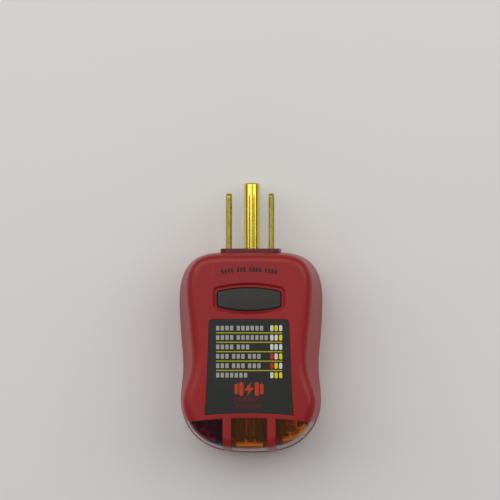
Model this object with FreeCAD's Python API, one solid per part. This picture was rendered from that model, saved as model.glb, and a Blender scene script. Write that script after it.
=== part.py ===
import FreeCAD, Part  # FreeCAD has to be imported before Part
import math
import os

# Outlet tester plug: a hand-held tester that plugs into a grounded wall outlet, drawn lying on its back.
# Millimetres. +Y runs from the lamp end to the prong tips, +Z comes out of the legend face, +X is the
# right-hand side as the legend is read. The origin is under the middle of the overall box, on the rest face.
# A "station" is a distance down the housing from its prong end.

V = FreeCAD.Vector
ALONG_X, ALONG_Y, ALONG_Z = V(1, 0, 0), V(0, 1, 0), V(0, 0, 1)

# ---- Driving dimensions: the plug ----
BLADE_SPACING = 12.7
BLADE_WIDTH = 6.35
BLADE_THICKNESS = 1.5
BLADE_LENGTH = 16.5
GROUND_OFFSET = 11.9
GROUND_RADIUS = 2.41
GROUND_LENGTH = 20.0

# ---- Driving dimensions: the housing ----
HOUSING_LENGTH = 60.5
HOUSING_DEPTH = 28.5
PARTING_Z = 15.0
WALL = 2.0
FRONT_EDGE_RADIUS = 2.4
REAR_EDGE_RADIUS = 2.2
REAR_DRAFT = 1.4
BOSS_HEIGHT = 1.1
GROUND_Z = 7.0

OVERALL_LENGTH = HOUSING_LENGTH + BOSS_HEIGHT + GROUND_LENGTH
LAMP_END_Y = -OVERALL_LENGTH / 2
TOP_Y = LAMP_END_Y + HOUSING_LENGTH
BOSS_Y = TOP_Y + BOSS_HEIGHT
BLADE_Z = GROUND_Z + GROUND_OFFSET
INNER_FRONT_Z = HOUSING_DEPTH - WALL
FIT_GAP = 0.05
ROOT_DEPTH = 0.8  # how far an inner rib, post or boss runs into the wall that carries it

# Half outline of the housing, from the middle of the lamp end round to the middle of the prong end.
# Each row: (half width, station) at the parting line, then (half width, station) of the front face's edge.
OUTLINE = [
    ((0.0, 60.5), (0.0, 58.3)),
    ((7.6, 60.0), (7.2, 57.7)),
    ((13.0, 58.3), (11.9, 56.3)),
    ((17.3, 55.0), (15.6, 53.7)),
    ((20.1, 50.4), (18.1, 50.0)),
    ((21.2, 45.0), (19.5, 45.0)),
    ((20.9, 40.2), (18.5, 40.5)),
    ((20.5, 36.2), (17.0, 36.2)),
    ((20.5, 32.2), (16.4, 31.6)),
    ((21.0, 26.0), (16.8, 25.0)),
    ((21.5, 18.5), (17.6, 17.5)),
    ((21.5, 12.0), (18.1, 11.0)),
    ((20.4, 6.8), (17.6, 6.0)),
    ((17.6, 2.7), (15.4, 2.4)),
    ((13.2, 0.6), (11.8, 0.9)),
    ((7.0, 0.05), (6.5, 0.5)),
    ((0.0, 0.0), (0.0, 0.45)),
]

# ---- Prong block ----
BOSS_HALF_WIDTH = 8.9
BOSS_Z = (3.0, 24.0)
BOSS_CORNER = 3.0
BOSS_EDGE_RADIUS = 0.4
FLANGE_HALF_WIDTH = 10.6
FLANGE_TOP_Z = 25.6
FLANGE_BACK_Y = TOP_Y - 4.5
BLOCK_BACK_Y = TOP_Y - 6.8
BLOCK_STEP = 0.3
CROSS_RIB_Y = (TOP_Y - 5.8, TOP_Y - 4.6)
WEB_Z = (14.0, 16.0)
WEB_LENGTH = 1.5

# ---- Prong ends and tails ----
BLADE_HOLE_RADIUS = 1.6
BLADE_HOLE_REACH = 11.9
BLADE_TIP_CORNER = 1.2
BLADE_TIP_CHAMFER = 0.25
BLADE_SHOULDER = 0.6
TAIL_Y = (TOP_Y - 10.2, TOP_Y - 8.2)
TAIL_Z = (17.0, 21.0)
GROUND_TIP_RADIUS = 0.7
STUB_RADIUS = 1.4
STUB_HEAD = (2.1, 0.8)
STRAP_Y = (TOP_Y - 7.65, TOP_Y - 6.85)
STRAP_Z = (3.9, 10.6)
STRAP_HALF_WIDTH = 3.4
STRAP_CORNER = 0.8
STRAP_NECK = 1.2
STRAP_TOP_Z = 14.2

# ---- Circuit board ----
BOARD_Z = (11.4, 13.0)
BOARD_Y = (TOP_Y - 55.8, TOP_Y - 7.2)
BOARD_INSET = 3.4
LEAD_TIP_Z = 10.3
SOLDER_Z = 10.45
SOLDER_FOOT = 0.9
SOLDER_RIM = 0.12
TAIL_SOLDER = (1.3, 1.8)

# ---- Test button and its switch ----
BUTTON_Y = TOP_Y - 13.95
BUTTON_HALF_LENGTH = 9.4
BUTTON_HALF_HEIGHT = 3.36
BUTTON_END_HALF = 2.16
BUTTON_CORNER = 0.6
END_GROWTH = 0.85  # the part of a margin that the eye's short ends and its corners take
CORNER_GROWTH = 0.6
BUTTON_GAP = 0.2
BUTTON_TRAVEL = 1.5
BUTTON_EDGE_Z = HOUSING_DEPTH + 0.3
BUTTON_CROWN = 0.55
BUTTON_ROUND = 0.45
BUTTON_FLANGE = 0.95
BUTTON_FLANGE_Z = (24.9, 26.35)
BUTTON_PEG = (1.5, 23.2)
COLLAR_GAP = 0.25
COLLAR_WALL = 0.9
COLLAR_BOTTOM_Z = 22.8
DISH_FLOOR_MARGIN = 0.7
DISH_RIM_MARGIN = 1.4
DISH_RIM_Z = HOUSING_DEPTH + 0.01  # just above the face, so that the cut leaves no skin
DISH_DEPTH = 0.55
DISH_SHIFT = 0.15
BRIDGE_Z = (24.4, 24.9)
BRIDGE_HALF_WIDTH = 2.6
BRIDGE_LEG_HALF_WIDTH = 1.6
BRIDGE_METAL = 0.5
BRIDGE_FOOT_HALF = 0.9
RIVET_X = 7.0
RIVET_HEAD = (1.3, 0.5)
RIVET_TAIL = (1.2, 0.45)
RIVET_ROUND = 0.2
RIVET_SHANK_RADIUS = 0.8
CONTACT_GAP = 0.03
BRIDGE_FOOT_Z = BOARD_Z[1] + RIVET_HEAD[1] + BUTTON_TRAVEL + CONTACT_GAP
SPRING_RADIUS = 2.1
SPRING_WIRE = 0.26
SPRING_TURNS = 6
SPRING_GAP = 0.02

# ---- Legend label ----
# Right edge of the label, (x, station), from its top to below the arch that ends it.
LABEL_EDGE = [(11.9, 19.9), (12.3, 31.5), (12.8, 43.0), (13.35, 49.7)]
LABEL_CORNER = 1.2
LABEL_RECESS = 0.4
LABEL_THICKNESS = 0.3
LABEL_GAP = 0.08
LABEL_BOTTOM_STATION = 47.8
LAMP_ARCH_RADIUS = 135.0

# ---- Lenses and lamps ----
WINDOW_STATION = 49.25
WINDOW_SILL_Z = 17.0
LENS_SETBACK = 0.1
LENS_FRONT_Z = HOUSING_DEPTH - 1.5
LENS_ROOT_Z = HOUSING_DEPTH - 1.2
LENS_TONGUE = 1.3
LENS_TONGUE_Z = 25.2
MIDDLE_LENS_HALF = 5.35
SIDE_LENS_X = 7.9
BAFFLE_BACK_Y = TOP_Y - 49.7
BAFFLE_FOOT_Z = PARTING_Z + 0.2
# Pocket behind each lens, (x, station) corners: at the front wall and at the sill.
MIDDLE_POCKET = (
    [(-3.95, 44.0), (-3.95, 56.5), (3.95, 56.5), (3.95, 44.0)],
    [(-3.95, 44.0), (-3.95, 58.3), (3.95, 58.3), (3.95, 44.0)],
)
SIDE_POCKET = (
    [(9.4, 44.0), (9.4, 55.3), (14.2, 53.9), (15.9, 50.9), (17.2, 44.0)],
    [(9.4, 44.0), (9.4, 57.2), (15.1, 55.4), (17.3, 51.4), (18.2, 44.0)],
)
LAMP_RADIUS = 2.3
LAMP_GLASS = 0.45
LAMP_Z = 20.6
LAMP_LENGTH = 10.5
LAMP_SEAL = 1.6
LAMP_NOSE = 0.9  # rounding of the glass tip, as a share of its radius
LAMPS = [("left", -11.95, 54.3), ("middle", 0.0, 57.1), ("right", 11.95, 54.3)]  # x, station of the tip
LEAD_RADIUS = 0.25
ELECTRODE_RADIUS = 0.45
LEAD_HALF_PITCH = 1.15
LAMP_LEAD_Y = TOP_Y - 40.6
LEAD_BEND = 1.0

# ---- Resistors: node name, station, body length, body radius, half the lead pitch ----
RESISTORS = [
    ("lamp_resistor_left", 37.8, 6.3, 1.15, 5.08),
    ("lamp_resistor_middle", 34.5, 6.3, 1.15, 5.08),
    ("lamp_resistor_right", 31.2, 6.3, 1.15, 5.08),
    ("test_resistor_upper", 22.0, 10.0, 1.9, 7.62),
    ("test_resistor_lower", 26.6, 10.0, 1.9, 7.62),
]
RESISTOR_LEAD_RADIUS = 0.32
RESISTOR_LIFT = 0.2
CAP_RADIUS_SHARE = 1.08
CAP_LENGTH_SHARE = 0.2
CAP_ROUND_SHARE = 0.3

# ---- Screws, posts and the seam ----
SCREW_X, SCREW_Y = 12.9, TOP_Y - 33.0
SCREW_TUBE_RADIUS = 3.9
SCREW_BOSS_RADIUS = 2.9
SCREW_WELL_RADIUS = 2.6
SCREW_SEAT_Z = 5.0
SCREW_HEAD = (2.4, 1.9)
SCREW_HEAD_ROUND = 0.9
SCREW_CROSS = (1.5, 0.35, 1.1)
SCREW_POINT = 0.4
SCREW_RADIUS = 1.4
SCREW_CLEARANCE = 0.2
SCREW_TIP_Z = 19.0
# Board posts: (foot radius, pin radius, pin top).
CENTRE_POST = (2.6, 1.3, 14.5)
LOWER_POST = (2.2, 1.0, 13.6)
LOWER_POST_X, LOWER_POST_Y = 9.6, TOP_Y - 47.4
POST_GAP = 0.15
HOLD_DOWN_X, HOLD_DOWN_Y = 14.4, TOP_Y - 18.8
HOLD_DOWN_RADIUS = 1.8
SEAM_CHAMFER = 0.2
EDGE_STEPS = 6
# The lip on the rear shell and the rebate for it: (outer inset, inner inset, height above the parting line).
LIP = (1.2, 1.95, 1.0)
REBATE = (1.1, 2.6, 1.1)
LIP_ROOT = 0.5

# ---- Rear label ----
REAR_LABEL_HALF_WIDTH = 11.5
REAR_LABEL_Y = (TOP_Y - 25.4, TOP_Y - 6.4)
REAR_LABEL_CORNER = 1.5
REAR_LABEL_RECESS = 0.3
REAR_LABEL_THICKNESS = 0.2


# ---- Small helpers ----
def box(x0, x1, y0, y1, z0, z1):
    return Part.makeBox(x1 - x0, y1 - y0, z1 - z0, V(x0, y0, z0))


def cylinder(radius, x, y, z0, z1):
    return Part.makeCylinder(radius, z1 - z0, V(x, y, z0), ALONG_Z)


def both_sides(x, radius, y, z0, z1):
    """Upright cylinders at x and at -x, or the one at the middle."""
    return [cylinder(radius, side, y, z0, z1) for side in sorted({-x, x})]


def bar_along_y(radius, x, z, y0, y1):
    return Part.makeCylinder(radius, y1 - y0, V(x, y0, z), ALONG_Y)


def joined(first, *others):
    return first.fuse(list(others)).removeSplitter()


def without(first, *others):
    return first.cut(list(others))


def mirrored(shape):
    return shape.mirror(V(0, 0, 0), ALONG_X)


def polygon(corners, z):
    """A closed flat wire through (x, station) corners."""
    points = [V(x, TOP_Y - station, z) for x, station in corners]
    return Part.makePolygon(points + points[:1])


def prism(wire, height):
    return Part.Face(wire).extrude(V(0, 0, height))


def edges_along(shape, axis):
    """The straight edges that run along an axis."""
    straight = [e for e in shape.Edges if isinstance(e.Curve, Part.Line)]
    return [e for e in straight if abs(e.Curve.Direction.dot(axis)) > 0.999]


def edges_at(shape, axis, level):
    """The edges that lie in the plane at a level of one axis, "X", "Y" or "Z"."""
    ends = [(getattr(e.BoundBox, axis + "Min"), getattr(e.BoundBox, axis + "Max"), e) for e in shape.Edges]
    return [e for low, high, e in ends if abs(low - level) < 1e-4 and abs(high - level) < 1e-4]


def rounded_bar(half_width, z_range, corner, y0, y1):
    """A bar along Y whose section is a rectangle with round corners."""
    bar = box(-half_width, half_width, y0, y1, *z_range)
    return bar.makeFillet(corner, edges_along(bar, ALONG_Y))


def bent_rod(points, bend, radius):
    """A round wire of straight runs, with a tangent arc at each inner point."""
    edges, start = [], points[0]
    for corner, after in zip(points[1:-1], points[2:]):
        into, out = (corner - start).normalize(), (after - corner).normalize()
        reach = bend * math.tan(into.getAngle(out) / 2)
        first, last = corner - into * reach, corner + out * reach
        inward = ((first + last) * 0.5 - corner).normalize()
        middle = corner + inward * (math.hypot(bend, reach) - bend)
        edges.append(Part.makeLine(start, first))
        edges.append(Part.Arc(first, middle, last).toShape())
        start = last
    edges.append(Part.makeLine(start, points[-1]))
    section = Part.Wire(Part.makeCircle(radius, points[0], points[1] - points[0]))
    return Part.Wire(edges).makePipeShell([section], True, False)


# ---- Housing outlines ----
def outline(z, inset=0.0):
    """The housing's outline at a height, as one closed wire, drawn in by an inset."""
    share = max(0.0, (z - PARTING_Z) / (HOUSING_DEPTH - PARTING_Z))
    inset += REAR_DRAFT * max(0.0, 1 - z / PARTING_Z)
    half = [[V(width, TOP_Y - station, 0) for width, station in row] for row in OUTLINE]
    around = half + [[V(-p.x, p.y, 0) for p in row] for row in half[-2:0:-1]]
    steps = [(b[0] - a[0]).Length + (b[1] - a[1]).Length for a, b in zip(around, around[1:] + around[:1])]
    knots = [sum(steps[:i]) / sum(steps) for i in range(len(steps) + 1)]
    points = [parting + (front - parting) * share for parting, front in around]
    curve = Part.BSplineCurve()
    curve.interpolate(Points=points, PeriodicFlag=True, Parameters=knots)
    if inset:
        tangents = [curve.tangent(knot)[0] for knot in knots[:-1]]
        points = [p + V(-t.y, t.x, 0) * inset for p, t in zip(points, tangents)]
        curve.interpolate(Points=points, PeriodicFlag=True, Parameters=knots)
    wire = Part.Wire(curve.toShape())
    wire.translate(V(0, 0, z))
    return wire


def rounded_block(parting_z, seam_z, side_z, end_z, setback):
    """A solid between the parting line and an end face, with a rounded edge between side_z and end_z."""
    radius = end_z - side_z
    turns = [math.radians(90 * i / EDGE_STEPS) for i in range(EDGE_STEPS + 1)]
    rims = [(side_z + radius * math.sin(t), abs(radius) * (1 - math.cos(t)) + setback) for t in turns]
    sides = [(parting_z, SEAM_CHAMFER + setback), (seam_z, setback), (side_z, setback)]
    side = Part.makeLoft([outline(z, inset) for z, inset in sides], True, True)
    edge = Part.makeLoft([outline(z, inset) for z, inset in rims], True, False)
    return side.fuse(edge)


def front_block(setback=0.0):
    """The front half of the housing as a full block, or the same block set back all over."""
    top = HOUSING_DEPTH - setback
    side_z = HOUSING_DEPTH - FRONT_EDGE_RADIUS
    return rounded_block(PARTING_Z, PARTING_Z + SEAM_CHAMFER, side_z, top, setback)


def rear_block():
    return rounded_block(PARTING_Z, PARTING_Z - SEAM_CHAMFER, REAR_EDGE_RADIUS, 0, 0)


def front_cavity(gap=0.0):
    levels = (PARTING_Z, INNER_FRONT_Z - gap)
    return Part.makeLoft([outline(z, WALL + gap) for z in levels], True, True)


def rear_cavity(gap=0.0):
    levels = (WALL + gap, PARTING_Z)
    return Part.makeLoft([outline(z, WALL + gap) for z in levels], True, True)


def seam_band(outer, inner, height):
    """An upright ring that follows the parting line, between two insets."""
    ring, hole = outline(PARTING_Z, outer), outline(PARTING_Z, inner)
    band = prism(ring, height + LIP_ROOT).cut(prism(hole, height + LIP_ROOT))
    band.translate(V(0, 0, -LIP_ROOT))
    return band


# ---- Outlines on the front face ----
def eye(margin, z, shift=0.0):
    """The button's eye-shaped outline, grown by a margin all round."""
    length, end = BUTTON_HALF_LENGTH + margin, BUTTON_END_HALF + margin * END_GROWTH
    middle, y = BUTTON_HALF_HEIGHT + margin, BUTTON_Y + shift
    corners = [V(length, y - end, z), V(length, y + end, z), V(-length, y + end, z), V(-length, y - end, z)]
    edges = [
        Part.makeLine(corners[0], corners[1]),
        Part.Arc(corners[1], V(0, y + middle, z), corners[2]).toShape(),
        Part.makeLine(corners[2], corners[3]),
        Part.Arc(corners[3], V(0, y - middle, z), corners[0]).toShape(),
    ]
    return Part.Wire(edges)


def eye_prism(margin, z0, z1, shift=0.0):
    solid = prism(eye(margin, z0, shift), z1 - z0)
    return solid.makeFillet(BUTTON_CORNER + margin * CORNER_GROWTH, edges_along(solid, ALONG_Z))


def dish_solid():
    """The hollow round the button: a flat floor inside a sloping wall."""
    rims = []
    for margin, z in ((DISH_FLOOR_MARGIN, HOUSING_DEPTH - DISH_DEPTH), (DISH_RIM_MARGIN, DISH_RIM_Z)):
        base_edges = edges_at(eye_prism(margin, z, z + 1, DISH_SHIFT), "Z", z)
        rims.append(Part.Wire(Part.sortEdges(base_edges)[0]))
    return Part.makeLoft(rims, True, True)


def arched_region(station, z0, z1):
    """Everything on the lamp end's side of the arch whose crown is at a station."""
    return cylinder(LAMP_ARCH_RADIUS, 0, TOP_Y - station - LAMP_ARCH_RADIUS, z0, z1)


def label_prism(gap, z0, z1):
    """The legend label's outline as a solid, drawn in by a gap all round."""
    (top_x, top_station), *lower = [(x - gap, station) for x, station in LABEL_EDGE]
    right = [(top_x, top_station + gap)] + lower
    corners = right + [(-x, station) for x, station in reversed(right)]
    solid = prism(polygon(corners, z0), z1 - z0)
    solid = solid.cut(arched_region(LABEL_BOTTOM_STATION - gap, z0, z1))
    top_y = solid.BoundBox.YMax
    top_corners = [e for e in edges_along(solid, ALONG_Z) if e.BoundBox.YMin > top_y - FIT_GAP]
    return solid.makeFillet(LABEL_CORNER, top_corners)


def window_zones(gap, z0, z1, reach=0.0, depth=HOUSING_LENGTH):
    """The middle and right lamp windows as blocks: from reach above the arch to depth below it."""
    zone = arched_region(WINDOW_STATION + gap - reach, z0, z1)
    zone = zone.cut(arched_region(WINDOW_STATION + depth, z0, z1))
    far = HOUSING_LENGTH
    middle = box(-MIDDLE_LENS_HALF + gap, MIDDLE_LENS_HALF - gap, -far, 0, z0, z1)
    right = box(SIDE_LENS_X + gap, far, -far, 0, z0, z1)
    return [block.common(zone) for block in (middle, right)]


# ---- Housing ----
def block_window(gap):
    """The prong block's way out through the end wall."""
    z_range = (BOSS_Z[0] - gap, BOSS_Z[1] + gap)
    return rounded_bar(BOSS_HALF_WIDTH + gap, z_range, BOSS_CORNER + gap, FLANGE_BACK_Y, BOSS_Y + 1)


def cross_rib(cavity, z0, z1):
    """The rib behind the prong block's flange, open in the middle for the block."""
    step = BLOCK_STEP - FIT_GAP
    half = BOSS_HALF_WIDTH - step
    rib = box(-HOUSING_LENGTH, HOUSING_LENGTH, *CROSS_RIB_Y, z0, z1).common(cavity)
    return rib.cut(box(-half, half, *CROSS_RIB_Y, BOSS_Z[0] + step, BOSS_Z[1] - step))


def make_front_shell():
    into_wall = INNER_FRONT_Z + ROOT_DEPTH
    rooted = front_cavity(-ROOT_DEPTH)
    shell = front_block().cut(front_cavity())
    screw_bosses = both_sides(SCREW_X, SCREW_BOSS_RADIUS, SCREW_Y, PARTING_Z, into_wall)
    hold_downs = both_sides(HOLD_DOWN_X, HOLD_DOWN_RADIUS, HOLD_DOWN_Y, BOARD_Z[1] + FIT_GAP, into_wall)
    collar_inner = BUTTON_FLANGE + COLLAR_GAP
    collar = eye_prism(collar_inner + COLLAR_WALL, COLLAR_BOTTOM_Z, into_wall)
    collar = collar.cut(eye_prism(collar_inner, COLLAR_BOTTOM_Z, INNER_FRONT_Z))
    baffle = box(MIDDLE_LENS_HALF, SIDE_LENS_X, -HOUSING_LENGTH, BAFFLE_BACK_Y, BAFFLE_FOOT_Z, into_wall)
    baffles = [side.common(rooted) for side in (baffle, mirrored(baffle))]
    rib = cross_rib(rooted, PARTING_Z, into_wall)
    shell = joined(shell, collar, rib, *screw_bosses, *hold_downs, *baffles)

    button_hole = eye_prism(BUTTON_GAP, INNER_FRONT_Z - FIT_GAP, HOUSING_DEPTH)
    pilots = both_sides(SCREW_X, SCREW_RADIUS, SCREW_Y, PARTING_Z, SCREW_TIP_Z + 1)
    recess = label_prism(0, HOUSING_DEPTH - LABEL_RECESS, HOUSING_DEPTH + 1)
    middle_window, right_window = window_zones(0, WINDOW_SILL_Z, HOUSING_DEPTH + 1)
    windows = (middle_window, right_window, mirrored(right_window))
    rebate = seam_band(*REBATE)
    return without(shell, dish_solid(), button_hole, recess, rebate, block_window(FIT_GAP), *pilots, *windows)


def make_rear_shell():
    into_wall = WALL - ROOT_DEPTH
    shell = rear_block().cut(rear_cavity())
    rib = cross_rib(rear_cavity(-ROOT_DEPTH), into_wall, PARTING_Z)
    tubes = both_sides(SCREW_X, SCREW_TUBE_RADIUS, SCREW_Y, into_wall, PARTING_Z - FIT_GAP)
    posts = []
    for x, y, (foot, pin, top) in [(0, BUTTON_Y, CENTRE_POST), (LOWER_POST_X, LOWER_POST_Y, LOWER_POST)]:
        posts += both_sides(x, foot, y, into_wall, BOARD_Z[0]) + both_sides(x, pin, y, into_wall, top)
    shell = joined(shell, rib, seam_band(*LIP), *tubes, *posts)

    wells = both_sides(SCREW_X, SCREW_WELL_RADIUS, SCREW_Y, -1, SCREW_SEAT_Z)
    clearances = both_sides(SCREW_X, SCREW_RADIUS + SCREW_CLEARANCE, SCREW_Y, 0, PARTING_Z)
    recess = rear_label_plate(0, -1, REAR_LABEL_RECESS)
    return without(shell, block_window(FIT_GAP), recess, *wells, *clearances)


def rear_label_plate(gap, z0, z1):
    half = REAR_LABEL_HALF_WIDTH - gap
    plate = box(-half, half, REAR_LABEL_Y[0] + gap, REAR_LABEL_Y[1] - gap, z0, z1)
    return plate.makeFillet(REAR_LABEL_CORNER, edges_along(plate, ALONG_Z))


def make_rear_label():
    return rear_label_plate(LABEL_GAP, REAR_LABEL_RECESS - REAR_LABEL_THICKNESS, REAR_LABEL_RECESS)


def make_legend_label():
    z0 = HOUSING_DEPTH - LABEL_RECESS
    return label_prism(LABEL_GAP, z0, z0 + LABEL_THICKNESS)


def make_housing_screws():
    head_radius, head_height = SCREW_HEAD
    arm, half, depth = SCREW_CROSS
    head_z = SCREW_SEAT_Z - head_height
    point_z = SCREW_TIP_Z - SCREW_RADIUS
    screws = []
    for x in (-SCREW_X, SCREW_X):
        head = cylinder(head_radius, x, SCREW_Y, head_z, SCREW_SEAT_Z)
        head = head.makeFillet(SCREW_HEAD_ROUND, edges_at(head, "Z", head_z))
        shank = cylinder(SCREW_RADIUS, x, SCREW_Y, SCREW_SEAT_Z, point_z)
        point = Part.makeCone(SCREW_RADIUS, SCREW_POINT, SCREW_RADIUS, V(x, SCREW_Y, point_z), ALONG_Z)
        along = box(x - arm, x + arm, SCREW_Y - half, SCREW_Y + half, head_z, head_z + depth)
        across = box(x - half, x + half, SCREW_Y - arm, SCREW_Y + arm, head_z, head_z + depth)
        screws.append(without(joined(head, shank, point), along, across))
    return Part.makeCompound(screws)


# ---- Prongs ----
def blade(x):
    x0, x1 = x - BLADE_THICKNESS / 2, x + BLADE_THICKNESS / 2
    z0, z1 = BLADE_Z - BLADE_WIDTH / 2, BLADE_Z + BLADE_WIDTH / 2
    tip_y = BOSS_Y + BLADE_LENGTH
    body = box(x0, x1, BLOCK_BACK_Y - BLADE_SHOULDER, tip_y, z0, z1)
    tip_corners = [e for e in edges_along(body, ALONG_X) if e.BoundBox.YMin > BOSS_Y]
    body = body.makeFillet(BLADE_TIP_CORNER, tip_corners)
    body = body.makeChamfer(BLADE_TIP_CHAMFER, edges_at(body, "Y", tip_y))
    neck = box(x0, x1, TAIL_Y[0], BLOCK_BACK_Y, *TAIL_Z)
    leg = box(x0, x1, *TAIL_Y, LEAD_TIP_Z, TAIL_Z[1])
    hole_start = V(x0, BOSS_Y + BLADE_HOLE_REACH, BLADE_Z)
    hole = Part.makeCylinder(BLADE_HOLE_RADIUS, BLADE_THICKNESS, hole_start, ALONG_X)
    return joined(body, neck, leg).cut(hole)


def make_ground_pin():
    """A round pin with eight flats where the prong block grips it, and a stub riveted over the strap."""
    tip_y = BOSS_Y + GROUND_LENGTH
    pin = bar_along_y(GROUND_RADIUS, 0, GROUND_Z, BOSS_Y, tip_y)
    pin = pin.makeFillet(GROUND_TIP_RADIUS, edges_at(pin, "Y", tip_y))
    turns = [math.radians(45 * i) for i in range(9)]
    corners = [(GROUND_RADIUS * math.cos(t), GROUND_Z + GROUND_RADIUS * math.sin(t)) for t in turns]
    octagon = Part.makePolygon([V(x, BLOCK_BACK_Y, z) for x, z in corners])
    gripped = Part.Face(octagon).extrude(V(0, BOSS_Y - BLOCK_BACK_Y, 0))
    head_radius, head_length = STUB_HEAD
    stub = bar_along_y(STUB_RADIUS, 0, GROUND_Z, STRAP_Y[0], BLOCK_BACK_Y)
    peened = bar_along_y(head_radius, 0, GROUND_Z, STRAP_Y[0] - head_length, STRAP_Y[0])
    return joined(pin, gripped, stub, peened)


def make_ground_strap():
    plate = box(-STRAP_HALF_WIDTH, STRAP_HALF_WIDTH, *STRAP_Y, *STRAP_Z)
    plate = plate.makeFillet(STRAP_CORNER, edges_along(plate, ALONG_Y))
    neck = box(-STRAP_NECK, STRAP_NECK, *STRAP_Y, GROUND_Z, STRAP_TOP_Z)
    return joined(plate, neck).cut(bar_along_y(STUB_RADIUS, 0, GROUND_Z, *STRAP_Y))


def make_prong_block(prongs):
    boss = rounded_bar(BOSS_HALF_WIDTH, BOSS_Z, BOSS_CORNER, FLANGE_BACK_Y, BOSS_Y)
    boss = boss.makeFillet(BOSS_EDGE_RADIUS, edges_at(boss, "Y", BOSS_Y))
    half = BOSS_HALF_WIDTH - BLOCK_STEP
    body = box(-half, half, BLOCK_BACK_Y, FLANGE_BACK_Y, BOSS_Z[0] + BLOCK_STEP, BOSS_Z[1] - BLOCK_STEP)
    flange = box(-FLANGE_HALF_WIDTH, FLANGE_HALF_WIDTH, FLANGE_BACK_Y, TOP_Y, 0, FLANGE_TOP_Z)
    flanges = [flange.common(cavity(FIT_GAP)) for cavity in (rear_cavity, front_cavity)]
    web_half = FLANGE_HALF_WIDTH - BLOCK_STEP
    web = box(-web_half, web_half, FLANGE_BACK_Y, FLANGE_BACK_Y + WEB_LENGTH, *WEB_Z)
    return without(joined(boss, body, web, *flanges), *prongs)


# ---- Circuit board ----
def lead_positions():
    """Where each round lead meets the board: (x, y, lead radius)."""
    leads = []
    for _, x, _ in LAMPS:
        leads += [(x + side, LAMP_LEAD_Y, LEAD_RADIUS) for side in (-LEAD_HALF_PITCH, LEAD_HALF_PITCH)]
    for _, station, _, _, half_pitch in RESISTORS:
        leads += [(x, TOP_Y - station, RESISTOR_LEAD_RADIUS) for x in (-half_pitch, half_pitch)]
    return leads


def make_circuit_board():
    z0, z1 = BOARD_Z
    board = prism(outline(PARTING_Z, BOARD_INSET), z1 - z0)
    board.translate(V(0, 0, z0 - PARTING_Z))
    board = board.common(box(-HOUSING_LENGTH, HOUSING_LENGTH, *BOARD_Y, z0, z1))
    cuts = [cylinder(radius, x, y, z0, z1) for x, y, radius in lead_positions()]
    for side in (-1, 1):
        x = side * SCREW_X
        notch = SCREW_TUBE_RADIUS + POST_GAP
        cuts.append(cylinder(notch, x, SCREW_Y, z0, z1))
        cuts.append(box(min(x, 2 * x), max(x, 2 * x), SCREW_Y - notch, SCREW_Y + notch, z0, z1))
        cuts.append(cylinder(RIVET_SHANK_RADIUS, side * RIVET_X, BUTTON_Y, z0, z1))
        tail_x, half = side * BLADE_SPACING / 2, BLADE_THICKNESS / 2
        cuts.append(box(tail_x - half, tail_x + half, *TAIL_Y, z0, z1))
    cuts.append(cylinder(CENTRE_POST[1] + POST_GAP, 0, BUTTON_Y, z0, z1))
    cuts += both_sides(LOWER_POST_X, LOWER_POST[1] + POST_GAP, LOWER_POST_Y, z0, z1)
    cuts.append(box(-STRAP_NECK, STRAP_NECK, STRAP_Y[0], BOARD_Y[1], z0, z1))
    return without(board, *cuts)


def make_solder_joints():
    height = BOARD_Z[0] - SOLDER_Z
    joints = []
    for x, y, radius in lead_positions():
        cone = Part.makeCone(radius + SOLDER_RIM, SOLDER_FOOT, height, V(x, y, SOLDER_Z), ALONG_Z)
        joints.append(cone.cut(cylinder(radius, x, y, SOLDER_Z, BOARD_Z[0])))
    for x in (-BLADE_SPACING / 2, BLADE_SPACING / 2):
        tail = box(x - BLADE_THICKNESS / 2, x + BLADE_THICKNESS / 2, *TAIL_Y, SOLDER_Z, BOARD_Z[0])
        cone = Part.makeCone(*TAIL_SOLDER, height, V(x, sum(TAIL_Y) / 2, SOLDER_Z), ALONG_Z)
        joints.append(cone.cut(tail))
    return Part.makeCompound(joints)


def make_contact_rivets():
    head_radius, head_height = RIVET_HEAD
    tail_radius, tail_height = RIVET_TAIL
    head_z = BOARD_Z[1] + head_height
    rivets = []
    for x in (-RIVET_X, RIVET_X):
        head = cylinder(head_radius, x, BUTTON_Y, BOARD_Z[1], head_z)
        head = head.makeFillet(RIVET_ROUND, edges_at(head, "Z", head_z))
        shank = cylinder(RIVET_SHANK_RADIUS, x, BUTTON_Y, *BOARD_Z)
        peened = cylinder(tail_radius, x, BUTTON_Y, BOARD_Z[0] - tail_height, BOARD_Z[0])
        rivets.append(joined(head, shank, peened))
    return Part.makeCompound(rivets)


def resistor(station, length, radius, half_pitch):
    y, z = TOP_Y - station, BOARD_Z[1] + RESISTOR_LIFT + radius * CAP_RADIUS_SHARE
    core = Part.makeCylinder(radius, length, V(-length / 2, y, z), ALONG_X)
    cap_length = length * CAP_LENGTH_SHARE
    caps = []
    for x in (-length / 2, length / 2 - cap_length):
        cap = Part.makeCylinder(radius * CAP_RADIUS_SHARE, cap_length, V(x, y, z), ALONG_X)
        ends = edges_at(cap, "X", x) + edges_at(cap, "X", x + cap_length)
        caps.append(cap.makeFillet(radius * CAP_ROUND_SHARE, ends))
    places = [(-half_pitch, LEAD_TIP_Z), (-half_pitch, z), (half_pitch, z), (half_pitch, LEAD_TIP_Z)]
    leads = bent_rod([V(x, y, level) for x, level in places], LEAD_BEND, RESISTOR_LEAD_RADIUS)
    return joined(core, *caps, leads)


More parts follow.
